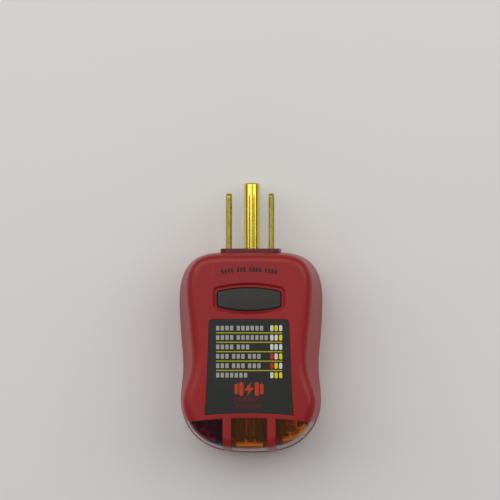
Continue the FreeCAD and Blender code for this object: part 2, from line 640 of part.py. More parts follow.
# ---- Lamps and lenses ----
def lamp_leads(x, station):
    """A neon lamp's two electrodes, with the leads that run back and down into the board."""
    tip_y = TOP_Y - station
    start_y, seal_y = tip_y + LAMP_RADIUS, tip_y + LAMP_LENGTH - LAMP_SEAL
    ends = [(seal_y - LEAD_BEND, LAMP_Z), (LAMP_LEAD_Y, LAMP_Z), (LAMP_LEAD_Y, LEAD_TIP_Z)]
    wires = []
    for lead_x in (x - LEAD_HALF_PITCH, x + LEAD_HALF_PITCH):
        electrode = bar_along_y(ELECTRODE_RADIUS, lead_x, LAMP_Z, start_y, seal_y)
        route = [V(lead_x, y, z) for y, z in ends]
        wires.append(joined(electrode, bent_rod(route, LEAD_BEND, LEAD_RADIUS)))
    return Part.makeCompound(wires)


def lamp_glass(x, station):
    tip_y = TOP_Y - station
    end_y = tip_y + LAMP_LENGTH
    outer = bar_along_y(LAMP_RADIUS, x, LAMP_Z, tip_y, end_y)
    outer = outer.makeFillet(LAMP_RADIUS * LAMP_NOSE, edges_at(outer, "Y", tip_y))
    bore_radius, bore_y = LAMP_RADIUS - LAMP_GLASS, tip_y + LAMP_GLASS
    bore = bar_along_y(bore_radius, x, LAMP_Z, bore_y, end_y - LAMP_SEAL)
    bore = bore.makeFillet(bore_radius * LAMP_NOSE, edges_at(bore, "Y", bore_y))
    return without(outer, bore, lamp_leads(x, station))


def make_lenses():
    """The middle and right lens caps; the left one mirrors the right."""
    skin = front_block(LENS_SETBACK)
    inside = front_cavity(FIT_GAP)
    low_z, high_z = LENS_TONGUE_Z, INNER_FRONT_Z - FIT_GAP
    walls = window_zones(FIT_GAP, WINDOW_SILL_Z + FIT_GAP, HOUSING_DEPTH)
    roots = window_zones(FIT_GAP, low_z, LENS_ROOT_Z, 0, LENS_TONGUE)
    tongues = window_zones(FIT_GAP, low_z, high_z, LENS_TONGUE, LENS_TONGUE)
    pockets = [
        Part.makeLoft([polygon(sill, WINDOW_SILL_Z), polygon(front, LENS_FRONT_Z)], True, True)
        for front, sill in (MIDDLE_POCKET, SIDE_POCKET)
    ]
    lenses = []
    for wall, root, tongue, pocket in zip(walls, roots, tongues, pockets):
        cap = wall.common(skin).cut(pocket)
        lenses.append(joined(cap, root.common(skin), tongue.common(inside)))
    return lenses


# ---- Test button ----
def make_test_button():
    z0, z1 = BUTTON_FLANGE_Z
    top_z = BUTTON_EDGE_Z + BUTTON_CROWN
    crown_radius = (BUTTON_HALF_LENGTH**2 + BUTTON_CROWN**2) / (2 * BUTTON_CROWN)
    dome = Part.makeSphere(crown_radius, V(0, BUTTON_Y, top_z - crown_radius))
    cap = eye_prism(0, z0, top_z).common(dome)
    rim = [e for e in cap.Edges if e.BoundBox.ZMin > HOUSING_DEPTH]
    cap = cap.makeFillet(BUTTON_ROUND, rim)
    flange = eye_prism(BUTTON_FLANGE, z0, z1)
    peg_radius, peg_z = BUTTON_PEG
    return joined(cap, flange, cylinder(peg_radius, 0, BUTTON_Y, peg_z, z0))


def make_contact_bridge():
    """The brass bridge under the button: a web with two legs that meet the rivets when it is pushed."""
    z0, z1 = BRIDGE_Z
    half, foot_top_z = BRIDGE_METAL / 2, BRIDGE_FOOT_Z + BRIDGE_METAL
    y0, y1 = BUTTON_Y - BRIDGE_HALF_WIDTH, BUTTON_Y + BRIDGE_HALF_WIDTH
    web = box(-RIVET_X - half, RIVET_X + half, y0, y1, z0, z1)
    y0, y1 = BUTTON_Y - BRIDGE_LEG_HALF_WIDTH, BUTTON_Y + BRIDGE_LEG_HALF_WIDTH
    legs = []
    for x in (-RIVET_X, RIVET_X):
        legs.append(box(x - half, x + half, y0, y1, BRIDGE_FOOT_Z, z1))
        legs.append(box(x - BRIDGE_FOOT_HALF, x + BRIDGE_FOOT_HALF, y0, y1, BRIDGE_FOOT_Z, foot_top_z))
    return joined(web, *legs).cut(cylinder(BUTTON_PEG[0], 0, BUTTON_Y, z0, z1))


def make_button_spring():
    low = BOARD_Z[1] + SPRING_WIRE + SPRING_GAP
    high = BRIDGE_Z[0] - SPRING_WIRE - SPRING_GAP
    helix = Part.makeHelix((high - low) / SPRING_TURNS, high - low, SPRING_RADIUS)
    section = Part.Wire(Part.makeCircle(SPRING_WIRE, V(SPRING_RADIUS, 0, 0), ALONG_Y))
    coil = Part.Wire(helix).makePipeShell([section], True, True)
    coil.translate(V(0, BUTTON_Y, low))
    return coil


# ---- Build ----
def build():
    neutral_blade, hot_blade = blade(-BLADE_SPACING / 2), blade(BLADE_SPACING / 2)
    ground_pin = make_ground_pin()
    middle_lens, right_lens = make_lenses()
    parts = {
        "front_shell": make_front_shell(),
        "rear_shell": make_rear_shell(),
        "legend_label": make_legend_label(),
        "rear_label": make_rear_label(),
        "housing_screws": make_housing_screws(),
        "prong_block": make_prong_block([neutral_blade, hot_blade, ground_pin]),
        "neutral_blade": neutral_blade,
        "hot_blade": hot_blade,
        "ground_pin": ground_pin,
        "ground_strap": make_ground_strap(),
        "circuit_board": make_circuit_board(),
        "solder_joints": make_solder_joints(),
        "contact_rivets": make_contact_rivets(),
        "test_button": make_test_button(),
        "contact_bridge": make_contact_bridge(),
        "button_spring": make_button_spring(),
        "red_lens": mirrored(right_lens),
        "amber_lens_middle": middle_lens,
        "amber_lens_right": right_lens,
    }
    for name, station, length, radius, half_pitch in RESISTORS:
        parts[name] = resistor(station, length, radius, half_pitch)
    for side, x, station in LAMPS:
        parts[f"neon_lamp_{side}"] = lamp_glass(x, station)
        parts[f"lamp_electrodes_{side}"] = lamp_leads(x, station)
    return parts


os.makedirs("parts", exist_ok=True)
for part_name, part_shape in build().items():
    bounds = part_shape.BoundBox
    extent = f"{bounds.XLength:.2f} {bounds.YLength:.2f} {bounds.ZLength:.2f}"
    print(f"{part_name:24s} valid {part_shape.isValid()} solids {len(part_shape.Solids)} size {extent}")
    part_shape.exportStep(f"parts/{part_name}.step")
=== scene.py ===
import math
import random

import bmesh
import bpy
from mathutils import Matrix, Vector


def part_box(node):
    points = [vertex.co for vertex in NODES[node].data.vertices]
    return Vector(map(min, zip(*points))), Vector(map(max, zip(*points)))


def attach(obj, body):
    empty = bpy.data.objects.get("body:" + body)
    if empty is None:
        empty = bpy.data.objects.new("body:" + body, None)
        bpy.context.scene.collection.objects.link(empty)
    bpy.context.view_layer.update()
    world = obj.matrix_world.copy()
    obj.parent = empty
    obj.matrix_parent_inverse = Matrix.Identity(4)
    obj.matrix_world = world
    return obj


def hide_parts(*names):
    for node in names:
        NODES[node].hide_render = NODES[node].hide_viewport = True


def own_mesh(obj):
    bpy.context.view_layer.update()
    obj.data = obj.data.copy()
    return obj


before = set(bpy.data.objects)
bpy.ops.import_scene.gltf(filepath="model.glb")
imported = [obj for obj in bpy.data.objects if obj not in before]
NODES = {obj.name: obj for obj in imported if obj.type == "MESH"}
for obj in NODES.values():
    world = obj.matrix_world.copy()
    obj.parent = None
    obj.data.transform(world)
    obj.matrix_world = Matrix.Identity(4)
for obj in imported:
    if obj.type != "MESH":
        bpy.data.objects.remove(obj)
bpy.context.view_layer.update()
MM = 0.001
SIDES = ("left", "middle", "right")

# ---- Places, taken from the frame; those in millimetres are divided by MM ----
SHELL_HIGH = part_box("front_shell")[1]
BLOCK_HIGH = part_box("prong_block")[1]
LABEL_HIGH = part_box("legend_label")[1]
REAR_LOW, REAR_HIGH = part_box("rear_label")
SPRING_LOW, SPRING_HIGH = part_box("button_spring")
BLADE_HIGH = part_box("hot_blade")[1]
BUTTON_LOW, BUTTON_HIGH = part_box("test_button")
TOP_Y = SHELL_HIGH.y / MM
FACE_Z = SHELL_HIGH.z / MM
LABEL_Z = LABEL_HIGH.z / MM
REAR_LABEL_Z = REAR_LOW.z / MM
BUTTON_Y = (BUTTON_LOW.y + BUTTON_HIGH.y) / 2 / MM


# ---- Camera, in metres ----
CAMERA_DISTANCE = 0.8
CAMERA_YAW = math.radians(2.3)
SENSOR_WIDTH = 36  # millimetres
VIEW_WIDTH = 0.15015
BLADE_HALF_WIDTH = 3.175 * MM
VIEW_TARGET = Vector((-0.000105, BLOCK_HIGH.y - 0.00045, BLADE_HIGH.z - BLADE_HALF_WIDTH))


def make_camera():
    """A long lens that looks straight down at the prong end, from a little to the right."""
    data = bpy.data.cameras.new("camera")
    data.sensor_width = SENSOR_WIDTH
    data.lens = SENSOR_WIDTH * CAMERA_DISTANCE / VIEW_WIDTH
    data.clip_start, data.clip_end = 0.01, 10
    camera = bpy.data.objects.new("camera", data)
    bpy.context.scene.collection.objects.link(camera)
    towards_camera = Vector((math.sin(CAMERA_YAW), 0, math.cos(CAMERA_YAW)))
    camera.location = VIEW_TARGET + CAMERA_DISTANCE * towards_camera
    camera.rotation_euler = (0, CAMERA_YAW, 0)
    bpy.context.scene.camera = camera


# ---- Lights and floor, in metres; each ceiling panel's corners are (x0, x1, y0, y1) ----
PANEL_HEIGHT = 1.0
LEFT_PANEL = (-2.0, 0.12, 0.02, 1.3)
RIGHT_PANEL = (0.26, 1.9, 0.02, 1.3)
PANEL_RADIANCE, PANEL_COLOUR = 1.65, (1.0, 0.985, 0.96)
FILL_PLACE, FILL_SIZE, FILL_AIM = Vector((0.0, -1.3, 0.5)), (1.4, 0.5), Vector((0, 0, 0.01))
FILL_RADIANCE, FILL_COLOUR = 0.35, (0.96, 0.98, 1.0)
WORLD_STRENGTH, WORLD_COLOUR = 0.16, (0.93, 0.95, 1.0)
FLOOR_HALF_SIZE, FLOOR_DROP, FLOOR_COLOUR = 1.6, 0.0001, (0.84, 0.835, 0.82)


def area_light(name, place, size, radiance, colour, aim):
    """A soft rectangular light, as bright from everywhere as its radiance says."""
    data = bpy.data.lights.new(name, "AREA")
    data.shape = "RECTANGLE"
    data.size, data.size_y = size
    data.energy = radiance * math.pi * size[0] * size[1]
    data.color = colour
    light = bpy.data.objects.new(name, data)
    bpy.context.scene.collection.objects.link(light)
    light.location = place
    light.rotation_euler = (aim - place).to_track_quat("-Z", "Y").to_euler()


def ceiling_panel(name, corners):
    """A wide panel that faces straight down."""
    x0, x1, y0, y1 = corners
    place = Vector(((x0 + x1) / 2, (y0 + y1) / 2, PANEL_HEIGHT))
    area_light(name, place, (x1 - x0, y1 - y0), PANEL_RADIANCE, PANEL_COLOUR, place - Vector((0, 0, 1)))


def make_lights():
    bpy.context.scene.view_settings.view_transform = "Standard"
    world = bpy.data.worlds.new("studio")
    world.use_nodes = True
    background = world.node_tree.nodes["Background"]
    background.inputs["Color"].default_value = (*WORLD_COLOUR, 1)
    background.inputs["Strength"].default_value = WORLD_STRENGTH
    bpy.context.scene.world = world
    ceiling_panel("left_panel", LEFT_PANEL)
    ceiling_panel("right_panel", RIGHT_PANEL)
    area_light("fill", FILL_PLACE, FILL_SIZE, FILL_RADIANCE, FILL_COLOUR, FILL_AIM)


def make_floor():
    material, shader = new_material("floor_paint", FLOOR_COLOUR, 0.75)
    n = Nodes(material)
    n.link(n.spread(n.noise(30.0, 4.0), 0.7, 0.82), shader.inputs["Roughness"])
    bm = bmesh.new()
    bmesh.ops.create_grid(bm, x_segments=1, y_segments=1, size=FLOOR_HALF_SIZE)
    floor = add_mesh("floor", bm, material)
    floor.location.z = -FLOOR_DROP


# ---- Material helpers ----
def new_material(name, colour, roughness, metallic=0.0):
    material = bpy.data.materials.new(name)
    material.use_nodes = True
    material.diffuse_color = (*colour, 1)
    shader = material.node_tree.nodes["Principled BSDF"]
    shader.inputs["Base Color"].default_value = (*colour, 1)
    shader.inputs["Roughness"].default_value = roughness
    shader.inputs["Metallic"].default_value = metallic
    return material, shader


def tinted(colour, factor):
    """A darker or brighter version of a colour."""
    return tuple(min(1.0, channel * factor) for channel in colour)


def faded(colour, keep, lift):
    """A paler, greyer version of a colour."""
    return tuple(channel * keep + lift for channel in colour)


class Nodes:
    """Short calls for a material's node tree. Every texture reads object coordinates, in metres."""

    def __init__(self, material):
        self.tree = material.node_tree
        self.coords = self.tree.nodes.new("ShaderNodeTexCoord").outputs["Object"]

    def link(self, output, socket):
        self.tree.links.new(output, socket)

    def fill(self, sockets, values):
        for socket, value in zip(sockets, values):
            if isinstance(value, bpy.types.NodeSocket):
                self.link(value, socket)
            else:
                socket.default_value = value

    def noise(self, scale, detail=3.0, roughness=0.5, stretch=(1, 1, 1)):
        mapping = self.tree.nodes.new("ShaderNodeMapping")
        self.fill([mapping.inputs["Vector"], mapping.inputs["Scale"]], [self.coords, stretch])
        node = self.tree.nodes.new("ShaderNodeTexNoise")
        sockets = [node.inputs[key] for key in ("Vector", "Scale", "Detail", "Roughness")]
        self.fill(sockets, [mapping.outputs["Vector"], scale, detail, roughness])
        return node.outputs["Fac"]

    def axis(self, letter):
        node = self.tree.nodes.new("ShaderNodeSeparateXYZ")
        self.link(self.coords, node.inputs["Vector"])
        return node.outputs[letter]

    def ramp(self, value, stops, interpolation="LINEAR"):
        node = self.tree.nodes.new("ShaderNodeValToRGB")
        node.color_ramp.interpolation = interpolation
        elements = node.color_ramp.elements
        while len(elements) < len(stops):
            elements.new(0.5)
        for element, (position, colour) in zip(elements, stops):
            element.position = position
            element.color = (*colour, 1)
        self.link(value, node.inputs["Fac"])
        return node.outputs["Color"]

    def spread(self, value, low, high, from_low=0.3, from_high=0.7):
        """Map from_low..from_high, which by default is most of a noise's range, to low..high."""
        node = self.tree.nodes.new("ShaderNodeMapRange")
        keys = ("Value", "From Min", "From Max", "To Min", "To Max")
        self.fill([node.inputs[key] for key in keys], [value, from_low, from_high, low, high])
        return node.outputs["Result"]

    def mix(self, factor, first, second):
        """Mix two colours, each a socket or an (r, g, b)."""
        node = self.tree.nodes.new("ShaderNodeMix")
        node.data_type = "RGBA"
        sockets = [socket for socket in node.inputs if socket.enabled]
        colours = [c if isinstance(c, bpy.types.NodeSocket) else (*c, 1) for c in (first, second)]
        self.fill(sockets, [factor] + colours)
        return [socket for socket in node.outputs if socket.enabled][0]

    def math(self, operation, *values):
        node = self.tree.nodes.new("ShaderNodeMath")
        node.operation = operation
        self.fill(node.inputs, values)
        return node.outputs["Value"]

    def bevel(self, radius):
        """The normal of the surface as if its edges were rounded."""
        node = self.tree.nodes.new("ShaderNodeBevel")
        node.samples = 4
        node.inputs["Radius"].default_value = radius
        return node.outputs["Normal"]

    def worn_edges(self, radius):
        """Near 1 along edges, from how far a bevelled normal leans from the true one."""
        geometry = self.tree.nodes.new("ShaderNodeNewGeometry")
        dot = self.tree.nodes.new("ShaderNodeVectorMath")
        dot.operation = "DOT_PRODUCT"
        self.link(self.bevel(radius), dot.inputs[0])
        self.link(geometry.outputs["Normal"], dot.inputs[1])
        return self.spread(dot.outputs["Value"], 1.0, 0.0, 0.75, 0.98)

    def surface(self, shader, height, strength, distance, edge=0.0):
        """Bump from a height, over edges softened by a small radius where one is given."""
        bump = self.tree.nodes.new("ShaderNodeBump")
        bump.inputs["Strength"].default_value = strength
        bump.inputs["Distance"].default_value = distance
        self.link(height, bump.inputs["Height"])
        if edge:
            self.link(self.bevel(edge), bump.inputs["Normal"])
        self.link(bump.outputs["Normal"], shader.inputs["Normal"])


# ---- Materials ----
def moulded_plastic(name, colour, roughness, grain=0.2, grain_size=0.0003, wear=0.25, edge=0.0):
    """Moulded plastic: faint flow marks, a fine spark grain, handling marks and paler worn edges."""
    material, shader = new_material(name, colour, roughness)
    shader.inputs["Specular IOR Level"].default_value = 0.42
    n = Nodes(material)
    flow = n.noise(48.0, 4.0, 0.55, (1.0, 0.45, 1.0))
    body = n.ramp(flow, [(0.3, tinted(colour, 0.85)), (0.7, tinted(colour, 1.12))])
    scuffs = n.spread(n.noise(620.0, 5.0, 0.65, (1.0, 0.3, 1.0)), 0.0, 0.22, 0.62, 0.74)
    marked = n.mix(scuffs, body, faded(colour, 0.75, 0.06))
    rubbed = n.math("MULTIPLY", n.worn_edges(0.00018), wear)
    n.link(n.mix(rubbed, marked, faded(colour, 0.8, 0.08)), shader.inputs["Base Color"])
    smears = n.noise(85.0, 5.0, 0.6, (1.0, 0.35, 1.0))
    n.link(n.spread(smears, roughness * 0.82, roughness * 1.25), shader.inputs["Roughness"])
    n.surface(shader, n.noise(1 / grain_size, 2.0, 0.6), grain, 0.00002, edge)
    return material


def printed_film(name, colour, roughness):
    """Thin vinyl film: nearly even, with faint rolling waves and dust-fine specks."""
    material, shader = new_material(name, colour, roughness)
    shader.inputs["Specular IOR Level"].default_value = 0.35
    n = Nodes(material)
    specks = n.spread(n.noise(2600.0, 3.0, 0.7), 0.0, 0.35, 0.66, 0.78)
    body = n.ramp(n.noise(70.0, 3.0, 0.5), [(0.3, tinted(colour, 0.85)), (0.7, tinted(colour, 1.15))])
    n.link(n.mix(specks, body, faded(colour, 0.6, 0.1)), shader.inputs["Base Color"])
    n.link(n.spread(n.noise(120.0, 4.0, 0.6), roughness * 0.8, roughness * 1.25), shader.inputs["Roughness"])
    n.surface(shader, n.noise(240.0, 3.0, 0.5), 0.15, 0.00004)
    return material


def ink(name, colour, roughness=0.45):
    """Screen print: slightly uneven cover with a ragged density."""
    material, shader = new_material(name, colour, roughness)
    shader.inputs["Specular IOR Level"].default_value = 0.2
    n = Nodes(material)
    cover = n.noise(1900.0, 3.0, 0.65)
    n.link(n.ramp(cover, [(0.3, tinted(colour, 0.72)), (0.6, colour)]), shader.inputs["Base Color"])
    n.link(n.spread(cover, roughness * 0.85, roughness * 1.2), shader.inputs["Roughness"])
    n.surface(shader, cover, 0.1, 0.00001)
    return material


def metal(name, colour, roughness, tarnish, stretch=(1100, 30, 1100), stain=0.5, patch_scale=150.0):
    """Worn metal: fine streaks as long as stretch makes them, with tarnish in soft patches."""
    material, shader = new_material(name, colour, roughness, 1.0)
    n = Nodes(material)
    streaks = n.noise(1.0, 4.0, 0.65, stretch)
    clean = n.ramp(streaks, [(0.28, tinted(colour, 0.8)), (0.72, colour)])
    patches = n.spread(n.noise(patch_scale, 5.0, 0.62), 0.0, stain, 0.45, 0.72)
    n.link(n.mix(patches, clean, tarnish), shader.inputs["Base Color"])
    streaked = n.spread(streaks, roughness * 0.75, roughness * 1.35)
    n.link(n.math("ADD", streaked, n.math("MULTIPLY", patches, 0.15)), shader.inputs["Roughness"])
    n.surface(shader, streaks, 0.18, 0.000015, 0.00008)
    return material


def clear_plastic(name, colour, roughness, ior=1.49, density=0.0, depth_tint=(1, 1, 1), clarity=1.0):
    """Clear plastic or glass that darkens with depth, with slight waviness and handling scratches."""
    material, shader = new_material(name, colour, roughness)
    shader.inputs["Transmission Weight"].default_value = clarity
    shader.inputs["IOR"].default_value = ior
    n = Nodes(material)
    if density:
        absorption = n.tree.nodes.new("ShaderNodeVolumeAbsorption")
        n.fill([absorption.inputs["Color"], absorption.inputs["Density"]], [(*depth_tint, 1), density])
        n.link(absorption.outputs["Volume"], n.tree.nodes["Material Output"].inputs["Volume"])
    scratches = n.noise(1.0, 3.0, 0.6, (2600, 260, 2600))
    n.link(n.spread(scratches, roughness * 0.7, roughness * 2.2, 0.4, 0.75), shader.inputs["Roughness"])
    n.surface(shader, n.noise(420.0, 2.0, 0.5), 0.1, 0.00004)
    return material


def highlight_bar_plastic(name, colour):
    """Glossy white plastic, a little uneven, for bars that are a painted highlight standing in for the light
    a lens ledge catches; a lens in front gives it its colour.
    """
    material, shader = new_material(name, colour, 0.3)
    n = Nodes(material)
    shade = n.noise(900.0, 3.0, 0.6)
    n.link(n.ramp(shade, [(0.3, tinted(colour, 0.85)), (0.7, colour)]), shader.inputs["Base Color"])
    n.link(n.spread(shade, 0.25, 0.4), shader.inputs["Roughness"])
    n.surface(shader, shade, 0.2, 0.00002)
    return material


def banded_resistor(name, half_length, bands):
    """A lacquered resistor body between end caps, with (start, colour) bands round it along X."""
    lacquer, dirt, cap = (0.52, 0.4, 0.24), (0.3, 0.22, 0.12), (0.6, 0.6, 0.6)
    band_width, cap_width = 0.07, 0.02
    material, shader = new_material(name, lacquer, 0.35)
    n = Nodes(material)
    place = n.spread(n.axis("X"), 0.0, 1.0, -half_length, half_length)
    stops = [(0.0, cap), (cap_width, lacquer)]
    for start, colour in bands:
        stops += [(start, colour), (start + band_width, lacquer)]
    stops.append((1 - cap_width, cap))
    banded = n.ramp(place, stops, "CONSTANT")
    n.link(n.mix(n.spread(n.noise(800.0, 3.0), 0.0, 0.2), banded, dirt), shader.inputs["Base Color"])
    n.surface(shader, n.noise(1500.0, 2.0), 0.15, 0.00002)
    return material


def board_laminate(name):
    """Brown laminate with a tinned copper pattern that shows on both faces."""
    laminate, copper = (0.2, 0.1, 0.03), (0.45, 0.4, 0.3)
    material, shader = new_material(name, laminate, 0.5)
    n = Nodes(material)
    weave = n.noise(1.0, 3.0, 0.6, (900, 3600, 900))
    body = n.ramp(weave, [(0.3, tinted(laminate, 0.8)), (0.7, tinted(laminate, 1.2))])
    wave = n.tree.nodes.new("ShaderNodeTexWave")
    wave.inputs["Scale"].default_value = 110.0
    wave.inputs["Distortion"].default_value = 3.0
    wave.inputs["Detail Scale"].default_value = 0.6
    n.link(n.coords, wave.inputs["Vector"])
    tracks = n.spread(wave.outputs["Fac"], 0.0, 0.5, 0.8, 0.86)
    n.link(n.mix(tracks, body, copper), shader.inputs["Base Color"])
    n.surface(shader, weave, 0.2, 0.00002)
    return material


# ---- Materials of the CAD nodes ----
# RED is the housing's red; the darker red beside it is that red darkened as painted shade, for the prong
# block's band in shadow at the prong end.
RED, SHADE_DARKENED_RED = (0.34, 0.0093, 0.0103), (0.14, 0.007, 0.011)
BUTTON_BLACK = (0.034, 0.033, 0.03)
LABEL_BLACK, LABEL_GREY = (0.0185, 0.0185, 0.0165), (0.42, 0.42, 0.41)
BRASS, TARNISHED_BRASS, DARK_BRASS = (0.89, 0.71, 0.115), (0.46, 0.33, 0.07), (0.3, 0.21, 0.035)
ZINC, DULL_ZINC = (0.56, 0.56, 0.57), (0.3, 0.3, 0.31)
NICKEL, DULL_NICKEL = (0.6, 0.57, 0.5), (0.3, 0.28, 0.25)
SOLDER, DULL_SOLDER = (0.62, 0.62, 0.62), (0.4, 0.4, 0.4)
GLASS = (0.95, 0.97, 0.95)
AMBER, AMBER_DEPTH = (0.95, 0.45, 0.03), (0.985, 0.80, 0.0)
RUBY, RUBY_DEPTH = (0.6, 0.012, 0.09), (0.64, 0.0, 0.5)
BAND_BROWN, BAND_BLACK, BAND_GOLD = (0.12, 0.04, 0.01), (0.01, 0.01, 0.01), (0.5, 0.35, 0.08)
BAND_ORANGE, BAND_RED, BAND_GREEN = (0.6, 0.15, 0.01), (0.45, 0.01, 0.01), (0.02, 0.2, 0.04)
LAMP_BANDS = [(0.26, BAND_RED), (0.38, BAND_RED), (0.5, BAND_ORANGE), (0.68, BAND_GOLD)]
TEST_BANDS = [(0.26, BAND_BROWN), (0.38, BAND_GREEN), (0.5, BAND_BLACK), (0.68, BAND_GOLD)]
LAMP_RESISTOR_HALF, TEST_RESISTOR_HALF = 0.0035, 0.0054


def put(material, *names):
    """Give the named CAD nodes a material, in every slot."""
    for name in names:
        slots = NODES[name].data.materials
        if len(slots) == 0:
            slots.append(material)
        for i in range(len(slots)):
            slots[i] = material


def per_lamp(stem):
    """The names of the three nodes, one for each lamp, that start with a stem."""
    return [f"{stem}_{side}" for side in SIDES]


def dress_plastics():
    red = moulded_plastic("red_abs", RED, 0.36, grain=0.22, wear=0.3, edge=0.00035)
    put(red, "front_shell", "rear_shell")
    # The prong block gets the housing red darkened as painted shade.
    put(moulded_plastic("red_abs_painted_shade", SHADE_DARKENED_RED, 0.42, grain=0.3), "prong_block")
    black = moulded_plastic("black_plastic", BUTTON_BLACK, 0.46, grain=0.6, grain_size=0.00026, wear=0.4)
    put(black, "test_button")
    put(printed_film("label_film", LABEL_BLACK, 0.42), "legend_label")
    put(printed_film("rear_film", LABEL_GREY, 0.5), "rear_label")


def dress_metals():
    put(metal("pin_brass", BRASS, 0.14, TARNISHED_BRASS, stain=0.15), "ground_pin")
    aged = tinted(BRASS, 0.56)
    sheet = metal("sheet_brass", aged, 0.34, DARK_BRASS, (1500, 260, 1500), stain=0.9, patch_scale=900.0)
    put(sheet, "neutral_blade", "hot_blade", "ground_strap", "contact_bridge", "contact_rivets")
    put(metal("zinc", ZINC, 0.35, DULL_ZINC, (500, 500, 500)), "housing_screws")
    put(metal("nickel", NICKEL, 0.3, DULL_NICKEL), *per_lamp("lamp_electrodes"))
    put(metal("solder", SOLDER, 0.3, DULL_SOLDER, (600, 600, 600)), "solder_joints")


def dress_electronics():
    put(board_laminate("board_laminate"), "circuit_board")
    put(clear_plastic("lamp_glass", GLASS, 0.03, ior=1.5), *per_lamp("neon_lamp"))
    put(banded_resistor("lamp_resistor", LAMP_RESISTOR_HALF, LAMP_BANDS), *per_lamp("lamp_resistor"))
    test_resistor = banded_resistor("test_resistor", TEST_RESISTOR_HALF, TEST_BANDS)
    put(test_resistor, "test_resistor_upper", "test_resistor_lower")


def dress_lenses():
    amber = clear_plastic("amber_clear", AMBER, 0.06, density=1000.0, depth_tint=AMBER_DEPTH, clarity=0.97)
    put(amber, "amber_lens_middle", "amber_lens_right")
    ruby = clear_plastic("red_clear", RUBY, 0.06, density=900.0, depth_tint=RUBY_DEPTH, clarity=0.98)
    put(ruby, "red_lens")


# ---- Mesh helpers; outlines are in millimetres ----
def add_mesh(name, bm, material, smooth=False):
    data = bpy.data.meshes.new(name)
    bmesh.ops.recalc_face_normals(bm, faces=bm.faces)
    bm.to_mesh(data)
    bm.free()
    for polygon in data.polygons:
        polygon.use_smooth = smooth
    piece = bpy.data.objects.new(name, data)
    bpy.context.scene.collection.objects.link(piece)
    data.materials.append(material)
    return piece


def add_housing_piece(name, bm, material, smooth=False):
    """A piece that is fixed to the housing."""
    piece = add_mesh(name, bm, material, smooth)
    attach(piece, "housing")
    return piece


def add_plate(bm, outline, z0, z1):
    """A flat plate between two heights, from a closed outline of (x, y)."""
    rings = [[bm.verts.new((x * MM, y * MM, z * MM)) for x, y in outline] for z in (z0, z1)]
    bm.faces.new(rings[0][::-1])
    bm.faces.new(rings[1])
    for i in range(len(outline)):
        j = (i + 1) % len(outline)
        bm.faces.new((rings[0][i], rings[0][j], rings[1][j], rings[1][i]))


def rounded_rect(x0, x1, y0, y1, corner, steps=4):
    """The outline of a rectangle with round corners, anticlockwise."""
    right, left, top, bottom = x1 - corner, x0 + corner, y1 - corner, y0 + corner
    points = []
    for quarter, (cx, cy) in enumerate([(right, top), (left, top), (left, bottom), (right, bottom)]):
        for step in range(steps + 1):
            angle = math.pi / 2 * (quarter + step / steps)
            points.append((cx + corner * math.cos(angle), cy + corner * math.sin(angle)))
    return points


def block(x, y, width, height, corner, steps=4):
    """A rounded rectangle that starts at x and is centred on y."""
    return rounded_rect(x, x + width, y - height / 2, y + height / 2, corner, steps)


def block_starts(words, x, pitch, gap):
    """Where each letter-sized block starts, with a gap after each word."""
    starts = []
    for letters in words:
        starts += [x + pitch * i for i in range(letters)]
        x = starts[-1] + pitch + gap
    return starts


def print_piece(name, outlines, z, material, thickness=0.02):
    """Flat printed shapes on a face that looks up (thickness above 0) or down (below 0)."""
    bm = bmesh.new()
    low, high = sorted((z - thickness / 2, z + thickness))
    for outline in outlines:
        add_plate(bm, outline, low, high)
    add_housing_piece(name, bm, material)


def station(distance):
    """The y, in millimetres, of a distance down the housing from its prong end."""
    return TOP_Y - distance


# ---- Legend print ----
ROW_START, ROW_PITCH = 22.45, 2.79
ROW_LEFT, RULE_RIGHT = -9.8, 9.85
ROW_WORDS = [(4, 6), (4, 7), (4, 3), (3, 3, 3), (3, 3, 3), (7,)]
LETTER_PITCH, WORD_GAP = 1.38, 0.6
LETTER_WIDTH, LETTER_HEIGHT, LETTER_CORNER = 0.96, 1.4, 0.1
RULE_OFFSET, RULE_THICKNESS, RULE_CORNER = 1.4, 0.3, 0.05
LAMP_COLUMNS = (6.76, 8.04, 9.38)
LAMP_WIDTH, LAMP_HEIGHT, LAMP_CORNER = 0.95, 1.75, 0.399
LAMP_CHART = ["WYW", "WWY", "WWW", "RWY", "RYW", "WYY"]
LAMP_INKS = {
    "W": ("white", (0.8, 0.8, 0.76)),
    "Y": ("amber", (0.86, 0.76, 0.002)),
    "R": ("red", (0.64, 0.036, 0.005)),
}
INK_WHITE, INK_OLIVE = (0.42, 0.42, 0.385), (0.49, 0.465, 0.006)


def make_legend_words(rows):
    """Rows of plain blocks the size of letters, in place of words."""
    blocks = []
    for words, y in zip(ROW_WORDS, rows):
        for x in block_starts(words, ROW_LEFT, LETTER_PITCH, WORD_GAP):
            blocks.append(block(x, y, LETTER_WIDTH, LETTER_HEIGHT, LETTER_CORNER))
    print_piece("legend_words", blocks, LABEL_Z, ink("ink_white", INK_WHITE))


def make_legend_rules(rows):
    """A thin rule under each row but the last."""
    length = RULE_RIGHT - ROW_LEFT
    rules = [block(ROW_LEFT, y - RULE_OFFSET, length, RULE_THICKNESS, RULE_CORNER) for y in rows[:-1]]
    print_piece("legend_rules", rules, LABEL_Z, ink("ink_olive", INK_OLIVE))


def make_lamp_chart(rows):
    """Three small lamps at the end of each row, which show what each combination means."""
    for key, (ink_name, colour) in LAMP_INKS.items():
        lamps = []
        for pattern, y in zip(LAMP_CHART, rows):
            for x in [x for x, lamp in zip(LAMP_COLUMNS, pattern) if lamp == key]:
                lamps.append(block(x - LAMP_WIDTH / 2, y, LAMP_WIDTH, LAMP_HEIGHT, LAMP_CORNER, 6))
        print_piece(f"lamp_chart_{ink_name}", lamps, LABEL_Z, ink(f"ink_lamp_{ink_name}", colour))


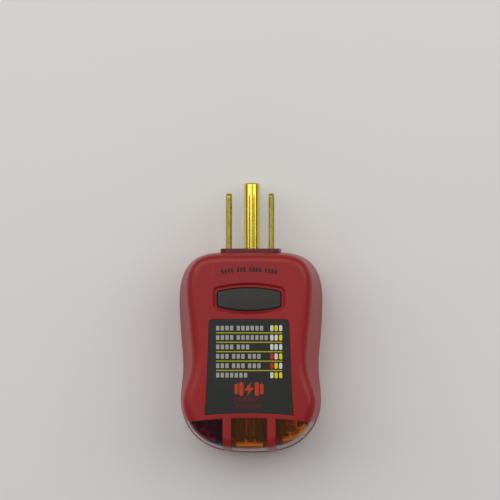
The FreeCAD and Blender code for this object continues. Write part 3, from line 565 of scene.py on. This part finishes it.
MARK_STATION = 40.5
BOLT = [(0.65, 2.15), (-1.45, -0.4), (-0.25, -0.4), (-0.65, -2.15), (1.45, 0.4), (0.25, 0.4)]
STROKES = [(2.3, 1.24, 4.1), (3.75, 1.12, 3.2)]  # middle from the bolt's middle, width, height
STROKE_ROUNDNESS = 0.45  # corner radius as a share of the width
SUBTEXT = [(43.6, 8, 1.08), (45.5, 7, 1.12)]  # station, blocks, pitch
SUBTEXT_WIDTH, SUBTEXT_HEIGHT, SUBTEXT_CORNER = 0.8, 1.15, 0.12
INK_ORANGE, INK_DIM_RED = (0.58, 0.055, 0.02), (0.13, 0.02, 0.014)


def make_legend_mark():
    """A plain lightning bolt between short strokes."""
    y = station(MARK_STATION)
    shapes = [[(x, y + up) for x, up in BOLT]]
    for side in (-1, 1):
        for x, width, height in STROKES:
            shapes.append(block(side * x - width / 2, y, width, height, width * STROKE_ROUNDNESS))
    print_piece("legend_mark", shapes, LABEL_Z, ink("ink_orange", INK_ORANGE))


def make_legend_subtext():
    """Two dim rows of blocks under the mark."""
    blocks = []
    for distance, letters, pitch in SUBTEXT:
        for x in block_starts((letters,), -letters * pitch / 2, pitch, 0):
            blocks.append(block(x, station(distance), SUBTEXT_WIDTH, SUBTEXT_HEIGHT, SUBTEXT_CORNER))
    print_piece("legend_subtext", blocks, LABEL_Z, ink("ink_dim_red", INK_DIM_RED))


def make_legend():
    rows = [station(ROW_START + ROW_PITCH * k) for k in range(len(ROW_WORDS))]
    make_legend_words(rows)
    make_legend_rules(rows)
    make_lamp_chart(rows)
    make_legend_mark()
    make_legend_subtext()


# ---- Button caption ----
CAPTION_RADIUS = 42.0
CAPTION_STATION = 5.03
CAPTION_WORDS = (4, 3, 4, 4)
CAPTION_PITCH, CAPTION_GAP = 0.98, 0.75
CAPTION_WIDTH, CAPTION_HEIGHT, CAPTION_CORNER = 0.7, 1.35, 0.15
CAPTION_THICKNESS = 0.03
INK_CAPTION = (0.065, 0.025, 0.023)


def on_caption_arc(x, y):
    """A place x along and y above the caption's arc, whose middle is at the caption's station."""
    angle, reach = x / CAPTION_RADIUS, CAPTION_RADIUS + y
    up = reach * math.cos(angle) - CAPTION_RADIUS
    return reach * math.sin(angle), station(CAPTION_STATION) + up


def make_button_caption():
    """A curved row of small dark blocks above the button, in place of its caption."""
    starts = block_starts(CAPTION_WORDS, 0, CAPTION_PITCH, CAPTION_GAP)
    length = starts[-1] + CAPTION_WIDTH
    outlines = []
    for start in starts:
        flat = block(start - length / 2, 0, CAPTION_WIDTH, CAPTION_HEIGHT, CAPTION_CORNER)
        outlines.append([on_caption_arc(x, y) for x, y in flat])
    caption_ink = ink("ink_caption", INK_CAPTION, 0.4)
    print_piece("button_caption", outlines, FACE_Z, caption_ink, CAPTION_THICKNESS)


# ---- Lens bars, a painted highlight: each is a bent line of (x, station) centres ----
BAR_HALF_WIDTH = 0.45
BAR_LOW, BAR_HIGH = FACE_Z - 3.2, FACE_Z - 2.2
BAR_BEVEL = 0.12
MIDDLE_BAR = [(-3.8, 56.75), (4.0, 56.75)]
SIDE_BAR = [(9.8, 55.5), (14.9, 53.8), (16.25, 50.8)]
HIGHLIGHT_BAR_WHITE = (0.95, 0.94, 0.9)


def bent_bar(name, centres, material):
    """A flat bar that follows a bent line, mitred where it turns."""
    points = [Vector((x, station(distance))) for x, distance in centres]
    runs = [(b - a).normalized() for a, b in zip(points, points[1:])]
    left, right = [], []
    for i, point in enumerate(points):
        before, after = runs[max(i - 1, 0)], runs[min(i, len(runs) - 1)]
        along = (before + after).normalized()
        side = Vector((-along.y, along.x)) * BAR_HALF_WIDTH / along.dot(after)
        left.append(tuple(point + side))
        right.append(tuple(point - side))
    bm = bmesh.new()
    add_plate(bm, left + right[::-1], BAR_LOW, BAR_HIGH)
    bmesh.ops.bevel(bm, geom=bm.edges[:], offset=BAR_BEVEL * MM, segments=2, affect="EDGES")
    add_housing_piece(name, bm, material)


def make_lens_bars():
    """White bars under the lenses, a painted highlight in place of the light that the lenses' ledges catch;
    they show as bright bars through them.
    """
    white = highlight_bar_plastic("highlight_bar_white", HIGHLIGHT_BAR_WHITE)
    bent_bar("highlight_bar_middle", MIDDLE_BAR, white)
    bent_bar("highlight_bar_right", SIDE_BAR, white)
    bent_bar("highlight_bar_left", [(-x, distance) for x, distance in SIDE_BAR], white)


# ---- Spring ----
SPRING_WIRE = 0.26  # the wire's radius
SPRING_RADIUS = 2.1
SPRING_TURNS = 6
SPRING_END_TURNS = 0.75
SPRING_RINGS_PER_TURN, SPRING_SIDES = 24, 10
SPRING_STEEL, DULL_STEEL = (0.5, 0.5, 0.5), (0.3, 0.3, 0.3)


def add_tube(bm, loops):
    """A closed tube through loops of vertices."""
    for a, b in zip(loops, loops[1:]):
        for k in range(len(a)):
            j = (k + 1) % len(a)
            bm.faces.new((a[k], a[j], b[j], b[k]))
    bm.faces.new(loops[0][::-1])
    bm.faces.new(loops[-1])


def make_spring():
    """The return spring, with closed ends."""
    low, high = SPRING_LOW.z / MM + SPRING_WIRE, SPRING_HIGH.z / MM - SPRING_WIRE
    total = SPRING_TURNS + 2 * SPRING_END_TURNS
    rings = round(SPRING_RINGS_PER_TURN * total)
    bm = bmesh.new()
    loops = []
    for i in range(rings + 1):
        turn = total * i / rings
        share = min(max((turn - SPRING_END_TURNS) / SPRING_TURNS, 0), 1)
        angle = 2 * math.pi * turn
        loop = []
        for k in range(SPRING_SIDES):
            around = 2 * math.pi * k / SPRING_SIDES
            reach = SPRING_RADIUS + SPRING_WIRE * math.cos(around)
            z = low + (high - low) * share + SPRING_WIRE * math.sin(around)
            place = Vector((reach * math.cos(angle), BUTTON_Y + reach * math.sin(angle), z))
            loop.append(bm.verts.new(place * MM))
        loops.append(loop)
    add_tube(bm, loops)
    wire = metal("spring_wire", SPRING_STEEL, 0.25, DULL_STEEL, (700, 700, 700))
    put(wire, "button_spring")
    spring = add_housing_piece("return_spring", bm, wire, smooth=True)
    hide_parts("button_spring")
    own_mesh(spring)


# ---- Rear label, laid out as it is read ----
REAR_INSET, REAR_LINE, REAR_LINE_CORNER = 1.0, 0.22, 0.05
TABLE_HEIGHT = 5.2
TABLE_COLUMNS, TABLE_START, TABLE_PITCH = 3, 1.4, 6.6
TABLE_BLOCKS = [(3.4, 4.4, 1.0), (1.6, 3.0, 0.8)]  # height above the frame's foot, width, height
TEXT_ROWS, TEXT_PITCH, TEXT_HEIGHT, TEXT_GAP = 5, 1.75, 0.84, 0.5
TEXT_START, TEXT_DROP = 1.3, 2.0
TEXT_MARGIN, TEXT_MARGIN_BY_SYMBOL = 1.5, 7.2
TEXT_SHORTEST, TEXT_LONGEST, TEXT_SPARE, TEXT_SEED = 1.1, 2.8, 1.0, 11
REAR_BLOCK_CORNER = 0.15
SYMBOL_OFFSET = (3.9, 4.2)
SYMBOL_WIDTH, SYMBOL_HEIGHT = 4.6, 5.6
SLOT_OFFSET, SLOT_WIDTH, SLOT_HEIGHT, SLOT_CORNER = (1.0, 0.9), 0.5, 1.6, 0.1
HOLE_DROP, HOLE_RADIUS, HOLE_CORNER = 1.25, 0.6, 0.588
INK_GREY = (0.03, 0.03, 0.03)


def ruled_box(x0, x1, y0, y1):
    """The four thin lines of a box, bottom line first, which meet but don't overlap."""
    lines = [rounded_rect(x0, x1, y, y + REAR_LINE, REAR_LINE_CORNER) for y in (y0, y1 - REAR_LINE)]
    for x in (x0, x1 - REAR_LINE):
        lines.append(rounded_rect(x, x + REAR_LINE, y0 + REAR_LINE, y1 - REAR_LINE, REAR_LINE_CORNER))
    return lines


def socket_symbol(x, y):
    """A wall socket's face, drawn round a centre: a box, two slots and a round hole."""
    across, up = SYMBOL_WIDTH / 2, SYMBOL_HEIGHT / 2
    shapes = ruled_box(x - across, x + across, y - up, y + up)
    out, rise = SLOT_OFFSET
    for middle in (x - out, x + out):
        shapes.append(block(middle - SLOT_WIDTH / 2, y + rise, SLOT_WIDTH, SLOT_HEIGHT, SLOT_CORNER))
    shapes.append(block(x - HOLE_RADIUS, y - HOLE_DROP, 2 * HOLE_RADIUS, 2 * HOLE_RADIUS, HOLE_CORNER, 6))
    return shapes


def text_rows(left, right, high):
    """Rows of blocks of uneven length, which stop short of the symbol while they are beside it."""
    rng = random.Random(TEXT_SEED)
    blocks = []
    for row in range(TEXT_ROWS):
        x, y = left + TEXT_START, high - TEXT_DROP - row * TEXT_PITCH
        limit = right - (TEXT_MARGIN_BY_SYMBOL if row < TEXT_ROWS - 1 else TEXT_MARGIN)
        while x < limit - TEXT_SPARE:
            length = min(rng.uniform(TEXT_SHORTEST, TEXT_LONGEST), limit - x)
            blocks.append(block(x, y, length, TEXT_HEIGHT, REAR_BLOCK_CORNER))
            x += length + TEXT_GAP
    return blocks


def table_blocks(left, low):
    """A wide block over a narrow one in each column at the label's foot."""
    blocks = []
    for column in range(TABLE_COLUMNS):
        x = left + TABLE_START + column * TABLE_PITCH
        for up, width, height in TABLE_BLOCKS:
            blocks.append(block(x, low + up, width, height, REAR_BLOCK_CORNER))
    return blocks


def make_rear_print():
    """A ruled frame, rows of plain blocks and a socket symbol, turned to look down."""
    left, right = REAR_LOW.x / MM + REAR_INSET, REAR_HIGH.x / MM - REAR_INSET
    low, high = REAR_LOW.y / MM + REAR_INSET, REAR_HIGH.y / MM - REAR_INSET
    table_top = low + TABLE_HEIGHT
    outlines = ruled_box(left, right, low, table_top + REAR_LINE)
    outlines += ruled_box(left, right, table_top, high)[1:]
    outlines += socket_symbol(right - SYMBOL_OFFSET[0], high - SYMBOL_OFFSET[1])
    outlines += text_rows(left, right, high)
    outlines += table_blocks(left, low)
    turned = [[(left + right - x, y) for x, y in outline] for outline in outlines]
    print_piece("rear_print", turned, REAR_LABEL_Z, ink("ink_grey", INK_GREY), -0.02)


make_camera()
make_lights()
make_floor()
dress_plastics()
dress_metals()
dress_electronics()
dress_lenses()
make_legend()
make_button_caption()
make_lens_bars()
make_spring()
make_rear_print()
